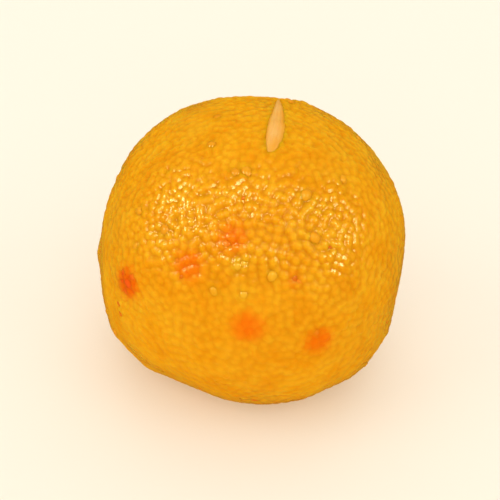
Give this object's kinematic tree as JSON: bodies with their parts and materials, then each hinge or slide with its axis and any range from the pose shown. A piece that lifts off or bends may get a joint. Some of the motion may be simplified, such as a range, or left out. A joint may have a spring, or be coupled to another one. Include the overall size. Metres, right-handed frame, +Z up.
{
  "type": "mihidana ladoo",
  "caption": "Hand-pressed ball-shaped sweet of fine gram-flour droplets with a small flat resting spot and an almond flake set in its crown.",
  "frame": {"origin": "middle of the outline, on the plane of the flat spot that the ball rests on", "axes": "+Z up through the crown, -Y towards the front, where the wide end of the almond flake points, +X to the right seen from the front"},
  "size_m": [0.047, 0.0474, 0.0434],
  "materials": {
    "mihidana": "saffron-yellow gram-flour droplets, moist with syrup and ghee",
    "almond": "pale blanched almond, slightly see-through with ghee"
  },
  "bodies": {
    "root": {"mihidana_ball": "mihidana", "almond_flake": "almond"}
  },
  "joints": []
}
